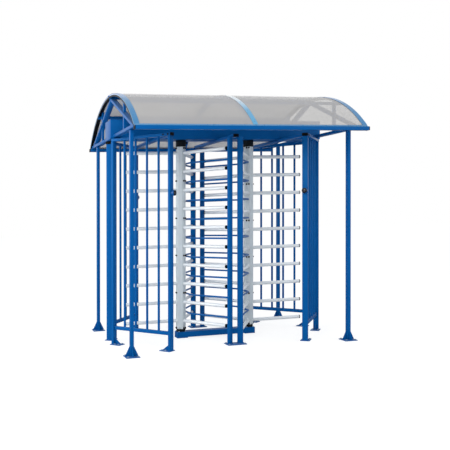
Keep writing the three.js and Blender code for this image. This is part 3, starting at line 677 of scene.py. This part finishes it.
def domed_plug(x):
    """A black plug over a tube's end: a rim, then a low dome, spun about the tube's axis."""
    profile = [(x - 0.0075, 0), (x - 0.0075, 0.0194), (x - 0.0066, 0.0202), (x + 0.0012, 0.0202),
               (x + 0.0032, 0.0184), (x + 0.0044, 0.0130), (x + 0.0049, 0.0070), (x + 0.0050, 0)]
    return spun("plug", [(a, 0, r) for a, r in profile], (1, 0, 0), 24)


cap_bolt = hex_bolt(0.0090, 0.0070, 0.0098)
for side, sx, turn_z, drop, rows in (
    ("left", -1, 0.0, 0.0, (2.138, 1.769, 1.349, 0.929, 0.509, 0.112)),
    ("right", 1, math.pi, 0.048, (2.141, 1.721, 1.301, 0.881, 0.461, 0.112)),
):
    arm_z = [top_arm - drop - arm_pitch * i for i in range(10)]
    parts = []
    for z in arm_z:
        parts.append(rod((arm_root, 0, z), (arm_end, 0, z), arm_radius, 32, 0.0010))
        # a bead of weld where the tube meets the flat of the hub
        parts.append(rod((0.0492, 0, z), (0.0550, 0, z), 0.0208, 28, 0.0016))
    wing_pattern = joined("wing_pattern", parts, 40)
    hub_pattern = joined("hub_pattern", [hub_third()], 40)
    plug = domed_plug(plug_seat)
    plugs_pattern = joined("plugs_pattern", spots_filled(plug, [(0, 0, z) for z in arm_z]), 40)
    bpy.data.objects.remove(plug)
    # a bolt over the flute on each side of the flat, its washer bearing on both lips
    outward = Matrix.Rotation(math.pi / 2, 4, "Y")
    bolts_pattern = joined("hub_bolts_pattern", spots_filled(cap_bolt, [
        Matrix.Translation((lip_face, sy * flute_y, z)) @ outward for z in rows for sy in (-1, 1)]))
    for i in range(3):
        place = (Matrix.Translation((sx * rotor_x, 0, 0)) @ Matrix.Rotation(turn_z, 4, "Z")
                 @ Matrix.Rotation(math.pi + i * 2 * math.pi / 3, 4, "Z"))
        name, body = f"{side}_{i + 1}", f"rotor_{side}"
        finished(copied(wing_pattern, f"rotor_arms_{name}", place), arm_metal, body,
                 [f"wing_{name}"])
        finished(copied(hub_pattern, f"rotor_hub_{name}", place), hub_metal, body)
        finished(copied(plugs_pattern, f"arm_plugs_{name}", place), black_plug, body)
        finished(copied(bolts_pattern, f"hub_bolts_{name}", place), black_plug, body)
    for pattern in (wing_pattern, hub_pattern, plugs_pattern, bolts_pattern):
        bpy.data.objects.remove(pattern)
bpy.data.objects.remove(cap_bolt)
for side in ("left", "right"):
    for kind in ("shaft", "lock_wheel", "lock_pawl", "lock_unit", "top_bearing"):
        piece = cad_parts[f"{kind}_{side}"]
        piece.data.materials.clear()
        piece.data.materials.append(turned_steel)

# Shrouds and foot bearings
# A ribbed black moulding hides each rotor's upper bearing, with a small gland on its side. A black
# collar with a groove stands on the floor beam and holds the lower journal, and a black skirt ring on
# the hub's foot keeps the wet out of it.


def turned(name, profile, steps=64):
    """A profile of radius and height spun about Z."""
    return joined(name, [spun(name, [(r, 0, z) for r, z in profile], (0, 0, 1), steps)])


shroud_outer, shroud_neck, shaft_fit, gland_z = 0.058, 0.055, 0.0203, 2.198
for side, sx in (("left", -1), ("right", 1)):
    low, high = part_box(f"top_shroud_{side}")
    foot, top = low[2], high[2]
    rib = (top - foot) / 3
    profile = [(shaft_fit, foot), (shroud_outer - 0.002, foot), (shroud_outer - 0.0008, foot + 0.0004),
               (shroud_outer, foot + 0.0018)]
    for i in range(3):
        upper = foot + (i + 1) * rib
        profile += [(shroud_outer, upper - 0.0052), (shroud_outer - 0.0008, upper - 0.0038),
                    (shroud_neck + 0.0004, upper - 0.0030)]
        if i < 2:
            profile += [(shroud_neck, upper - 0.0026), (shroud_neck, upper - 0.0004),
                        (shroud_neck + 0.0004, upper), (shroud_outer - 0.0008, upper + 0.0008),
                        (shroud_outer, upper + 0.0022)]
    profile += [(shroud_neck, top), (shaft_fit, top), (shaft_fit, foot)]
    axis = Matrix.Translation((sx * rotor_x, 0, 0))
    ribbed = turned("ribbed", profile)
    gland = joined("gland", [
        rod((0.054, 0, gland_z), (0.0640, 0, gland_z), 0.0138, 6, 0.0008),
        rod((0.0635, 0, gland_z), (0.0740, 0, gland_z), 0.0120, 28, 0.0010),
        rod((0.0735, 0, gland_z), (0.0778, 0, gland_z), 0.0095, 28, 0.0020),
    ])
    shroud = joined(f"ribbed_shroud_{side}", [ribbed, gland])
    shroud.data.transform(axis @ Matrix.Rotation(0 if sx < 0 else math.pi, 4, "Z"))
    finished(shroud, black_moulding, stands_for=[f"top_shroud_{side}"])

    low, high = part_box(f"foot_bearing_{side}")
    foot, top = low[2], high[2]
    collar = turned(f"foot_collar_{side}", [
        (r, foot + up) for r, up in (
            (0.0153, 0), (0.0545, 0), (0.0556, 0.0006), (0.0560, 0.0018), (0.0560, 0.0092), (0.0556, 0.0104),
            (0.0545, 0.0110), (0.0484, 0.0110), (0.0480, 0.0114), (0.0480, 0.0146), (0.0484, 0.0150),
            (0.0490, 0.0150), (0.0498, 0.0156), (0.0500, 0.0166))
    ] + [(0.0500, top - 0.0016), (0.0494, top - 0.0004), (0.0486, top), (0.0153, top), (0.0153, foot)])
    collar.data.transform(axis)
    finished(collar, black_moulding, stands_for=[f"foot_bearing_{side}"])
    skirt = turned(f"foot_skirt_{side}", [
        (r, hub_low + up) for r, up in (
            (0.0250, -0.0002), (0.0560, -0.0002), (0.0570, 0.0006), (0.0570, 0.0046), (0.0560, 0.0056),
            (0.0250, 0.0056), (0.0250, -0.0002))])
    skirt.data.transform(axis)
    finished(skirt, black_moulding, f"rotor_{side}")

# Reader pods
# A short round pod is clamped to the end face of each lane post at hand height: a painted barrel on
# a narrower neck, with a dark glossy window set in a raised rim and a small eye in the window.
window_glass = coated("reader_window", (0.004, 0.006, 0.010), 0.25, 0.03, 500.0, 0.02, gloss=0.3)
pod_coat = coated("reader_barrel", (0.0, 0.080, 0.290), 0.30, 0.05, 900.0, 0.06, gloss=0.3)
window_eye = coated("reader_eye", (0.045, 0.040, 0.045), 0.20, 0.05, 500.0, 0.02, gloss=0.5, coat=0.2)
barrel_profile = [
    (0, 0), (0.0212, 0), (0.0220, 0.0008), (0.0220, 0.0112), (0.0224, 0.0120), (0.0262, 0.0120),
    (0.0278, 0.0126), (0.0285, 0.0144), (0.0285, 0.0376), (0.0284, 0.0384), (0.0281, 0.0389),
    (0.0277, 0.0390), (0.0274, 0.0387), (0.0273, 0.0382), (0.0273, 0.0370), (0, 0.0370)]
window_profile = [(0, 0.0372), (0.0271, 0.0372), (0.0272, 0.0382), (0.0266, 0.0392), (0.0132, 0.0396),
                  (0.0128, 0.0389), (0, 0.0389)]
eye_profile = [(0, 0.0389), (0.0124, 0.0389), (0.0124, 0.0394), (0.0100, 0.0397), (0, 0.0399)]
reader_z = 1.613
for (row, side), place in panel_place.items():
    seat = place @ Matrix.Translation((span + 0.0153, 0, reader_z)) @ Matrix.Rotation(math.pi / 2, 4, "Y")
    for kind, profile, steps, look, slot, stands_for in (
        ("barrel", barrel_profile, 48, pod_coat, "reader_housing", [f"reader_{row}_{side}"]),
        ("window", window_profile, 48, window_glass, "black_plastic", []),
        ("eye", eye_profile, 32, window_eye, "black_plastic", []),
    ):
        piece = turned(f"reader_{kind}_{row}_{side}", profile, steps)
        piece.data.transform(seat)
        finished(piece, look, stands_for=stands_for)

# Housing
# Folded steel sheet over both rotors: a flat tray that the bearings hang on, and a deep cover that
# drops over it and is screwed to it along its lower edge.
finished(softened("housing_tray", 0.0012), blue_coat, stands_for=["housing_tray"])
finished(softened("housing_cover", 0.003), blue_coat, stands_for=["housing_cover"])
pan_screw = turned("pan_screw", [(0, 0.0032), (0.0022, 0.0031), (0.0040, 0.0024), (0.0047, 0.0012),
                                 (0.0048, 0), (0, 0)], 20)
cover_x, cover_y, screw_z = 1.252, 0.1395, 2.246
seats = []
for sy in (-1, 1):
    facing = Matrix.Rotation(-sy * math.pi / 2, 4, "X")
    seats += [Matrix.Translation((-1.16 + i * 0.29, sy * cover_y, screw_z)) @ facing for i in range(9)]
for sx in (-1, 1):
    facing = Matrix.Rotation(sx * math.pi / 2, 4, "Y")
    seats += [Matrix.Translation((sx * cover_x, y, screw_z)) @ facing for y in (-0.10, 0.10)]
finished(joined("cover_screws", spots_filled(pan_screw, seats)), blue_coat)

# Canopy posts
# Four slim posts of their own hold the canopy. Each stands on a square plate with four tall fins,
# anchored at its corners.
fin_foot = plate_top - bite
fin = wedge([(0, fin_foot), (0.050, fin_foot), (0.050, 0.014), (0.005, 0.108), (0, 0.110)], 0.006)
half_x, half_y = 0.0175, 0.025
post_end = 2.2423
post_x, post_y = 1.195, 0.839
parts = [tube((-half_x, -half_y, plate_top - bite), (half_x, half_y, post_end)),
         tube((-0.070, -0.075, 0), (0.070, 0.075, plate_top), plate_edge)]
for i in range(4):
    root = (half_x if i % 2 == 0 else half_y) - 0.001
    quarter = Matrix.Rotation(i * math.pi / 2, 4, "Z")
    parts.append(copied(fin, "fin", quarter @ Matrix.Translation((root, 0, 0))))
bpy.data.objects.remove(fin)
post_pattern = joined("canopy_post_pattern", parts)
anchors = joined("post_anchors_pattern", spots_filled(bolt_pattern, [
    (x, y, plate_top) for x in (-0.052, 0.052) for y in (-0.057, 0.057)]))
for side, sx in (("left", -1), ("right", 1)):
    for row, sy in (("front", -1), ("back", 1)):
        place = Matrix.Translation((sx * post_x, sy * post_y, 0))
        finished(copied(post_pattern, f"finned_post_{row}_{side}", place), blue_coat,
                 stands_for=[f"canopy_post_{row}_{side}"])
        finished(copied(anchors, f"post_anchors_{row}_{side}", place), bolt_steel)
for pattern in (post_pattern, anchors):
    bpy.data.objects.remove(pattern)

# Canopy frame
# Two gable trusses of small tube, an eaves beam along each side with black plugs in its ends, three
# purlins and a middle rib, all coated blue like the cage.
for node in ("gable_left", "gable_right", "eaves_beam_front", "eaves_beam_back", "purlin_front",
             "purlin_ridge", "purlin_back"):
    finished(softened(node, 0.002), blue_coat, stands_for=[node])
parts = []
beam_end, beam_proud = 1.237, 0.0010
for sx in (-1, 1):
    for row in ("front", "back"):
        ends = sorted((sx * (beam_end - bite), sx * (beam_end + 0.0065)))
        low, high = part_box(f"eaves_beam_{row}")
        parts.append(tube((ends[0], low[1] - beam_proud, low[2] - beam_proud),
                          (ends[1], high[1] + beam_proud, high[2] + beam_proud), plug_edge))
finished(joined("eaves_plugs", parts), black_plug)

# Roof
# Two sheets of smoked polycarbonate are sprung over the frame and meet under the middle strip. A
# black seal edges each gable, and blue-tinted aluminium strips and eaves lips clamp the sheets down.
eaves_y, foot_z, crown_z = 1.135, post_end, 2.713
rise = crown_z - foot_z
arch_radius = (eaves_y ** 2 + rise ** 2) / (2 * rise)
arch_centre = crown_z - arch_radius
arch_half = math.asin(eaves_y / arch_radius)


def on_arch(x, radius, angle):
    """The point at a radius of the roof's arch and an angle back from its crown."""
    return Vector((x, radius * math.sin(angle), arch_centre + radius * math.cos(angle)))


def arched(name, radius, thickness, half_angle, x0, x1, rows=1):
    """A sheet bent to the roof's arch, thickened outwards from a radius."""
    alone()
    bpy.ops.mesh.primitive_grid_add(x_subdivisions=rows, y_subdivisions=96, size=2)
    made = bpy.context.object
    for v in made.data.vertices:
        v.co = on_arch(x0 + (v.co.x + 1) / 2 * (x1 - x0), radius, v.co.y * half_angle)
    shell = made.modifiers.new("thickness", "SOLIDIFY")
    shell.thickness = thickness
    shell.offset = 1
    shell.use_even_offset = True
    bpy.ops.object.modifier_apply(modifier=shell.name)
    alone(made)
    bpy.ops.object.mode_set(mode="EDIT")
    bpy.ops.mesh.select_all(action="SELECT")
    bpy.ops.mesh.normals_make_consistent(inside=False)
    bpy.ops.object.mode_set(mode="OBJECT")
    return joined(name, [made], 30)


def levelled(piece, height):
    """The piece cut off level at a height, and closed."""
    alone(piece)
    bpy.ops.object.mode_set(mode="EDIT")
    bpy.ops.mesh.select_all(action="SELECT")
    bpy.ops.mesh.bisect(plane_co=(0, 0, height), plane_no=(0, 0, 1), use_fill=True, clear_inner=True)
    bpy.ops.object.mode_set(mode="OBJECT")
    return piece


def smoked_sheet():
    """Half clear grey sheet, slightly hazy in clouds and finely scuffed."""
    made = bpy.data.materials.new("smoked_sheet")
    made.use_nodes = True
    tree = made.node_tree
    shader = tree.nodes["Principled BSDF"]
    place = tree.nodes.new("ShaderNodeTexCoord").outputs["Object"]
    haze = noise(tree, place, 2.4, 4)
    tint = colour_mix(tree, haze.outputs["Fac"], (0.490, 0.474, 0.458, 1), (0.550, 0.533, 0.515, 1))
    tree.links.new(tint.outputs["Result"], shader.inputs["Base Color"])
    scuff = noise(tree, place, 40.0, 5)
    rough = spread(tree, scuff.outputs["Fac"], 0.10, 0.22)
    tree.links.new(rough.outputs["Result"], shader.inputs["Roughness"])
    shader.inputs["Alpha"].default_value = 0.58
    shader.inputs["Specular IOR Level"].default_value = 0.3
    return made


sheet_look = smoked_sheet()


def strip_with_crown_highlight(name, deep, pale, low_z):
    """Tinted strip, deep in colour at the eaves and paling towards the crown in a painted highlight."""
    made = coated(name, deep, 0.28, 0.04, 300.0, 0.05, gloss=0.4, coat=0.25)
    tree = made.node_tree
    place = tree.nodes.new("ShaderNodeTexCoord")
    upright = tree.nodes.new("ShaderNodeSeparateXYZ")
    tree.links.new(place.outputs["Object"], upright.inputs[0])
    # towards the crown the colour pales: a painted highlight
    crown_highlight_share = spread(tree, upright.outputs["Z"], 0.0, 1.0, low_z, 2.715)
    crown_highlight_share.interpolation_type = "SMOOTHSTEP"
    crown_highlighted = colour_mix(tree, crown_highlight_share.outputs["Result"], (*deep, 1), (*pale, 1))
    skin = next(n for n in tree.nodes if n.bl_idname == "ShaderNodeGroup")
    tree.links.new(crown_highlighted.outputs["Result"], skin.inputs["Colour"])
    return made


# both strip finishes carry a painted highlight towards the crown, near white on the middle strip
strip_look = strip_with_crown_highlight("tinted_strip", (0.014, 0.185, 0.41), (0.36, 0.46, 0.68), 2.54)
highlit_middle_strip = strip_with_crown_highlight("highlit_middle_strip", (0.075, 0.34, 0.58), (0.92, 0.94, 0.93), 2.40)
seal_look = coated("black_seal", (0.0030, 0.0036, 0.0045), 0.5, 0.05, 1600.0, 0.25, gloss=0.3)
sheet_thick, strip_thick, seal_thick, fit_gap = 0.006, 0.003, 0.003, 0.0003
strip_radius = arch_radius + sheet_thick + fit_gap
edge_x, turned_edge, lip_depth = 1.2373, 0.016, 0.018
strip_half, inner_half = arch_half - 0.0128, arch_half * 0.9995
for side in ("left", "right"):
    low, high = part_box(f"roof_sheet_{side}")
    sheet = arched(f"bent_sheet_{side}", arch_radius, sheet_thick, arch_half, low[0], high[0], 12)
    finished(sheet, sheet_look, stands_for=[f"roof_sheet_{side}"])
    low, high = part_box(f"edge_seal_{side}")
    tape = arched("tape", arch_radius - seal_thick - fit_gap, seal_thick, inner_half, low[0], high[0])
    finished(joined(f"gable_seal_{side}", [levelled(tape, foot_z)]), seal_look,
             stands_for=[f"edge_seal_{side}"])
for name in ("left", "middle", "right"):
    low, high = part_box(f"cover_strip_{name}")
    parts = [arched("strip", strip_radius, strip_thick, strip_half, low[0], high[0])]
    if name != "middle":
        # the gable strips turn down over the sheet's edge, and a black lip hangs from the turned edge
        ends = (-edge_x - strip_thick, -edge_x) if name == "left" else (edge_x, edge_x + strip_thick)
        edge_radius = strip_radius + strip_thick - turned_edge
        parts.append(arched("flange", edge_radius, turned_edge - 0.0001, strip_half, *ends))
        lip_radius = edge_radius - lip_depth
        lip = arched(f"strip_lip_{name}", lip_radius, lip_depth - 0.0002, strip_half - 0.006, *ends)
        finished(lip, seal_look)
    finished(joined(f"clamp_strip_{name}", parts, 30), highlit_middle_strip if name == "middle" else strip_look,
             stands_for=[f"cover_strip_{name}"])
for row in ("front", "back"):
    finished(softened(f"eaves_lip_{row}", 0.0008), strip_look,
             stands_for=[f"eaves_lip_{row}"])
rib_depth, rib_half = 0.045, 0.015
rib = arched("rib", arch_radius - rib_depth, rib_depth - 0.0004, inner_half, -rib_half, rib_half)
finished(joined("middle_arch_rib", [levelled(rib, foot_z)]), blue_coat,
         stands_for=["middle_rib"])
seats = [Matrix.Translation((sx * (edge_x + strip_thick), 0, crown_z - 0.002))
         @ Matrix.Rotation(sx * math.pi / 2, 4, "Y") for sx in (-1, 1)]
finished(joined("crown_bolts", spots_filled(bolt_pattern, seats)), blue_coat)

# screws along the strips and the eaves lips, of the same finish
places = []
for x in (-1.212, 0.0, 1.212):
    places += [(x, 0.0092, (i - 5.5) / 5.5 * (arch_half - 0.045)) for i in range(12)]
for sy in (-1, 1):
    places += [(-1.02 + i * 0.255, 0.0102, sy * (arch_half - 0.0062)) for i in range(9)]
seats = [Matrix.Translation(on_arch(x, arch_radius + up, angle)) @ Matrix.Rotation(-angle, 4, "X")
         for x, up, angle in places]
finished(joined("roof_screws", spots_filled(pan_screw, seats)), strip_look)

for pattern in (bolt_pattern, pan_screw):
    bpy.data.objects.remove(pattern)
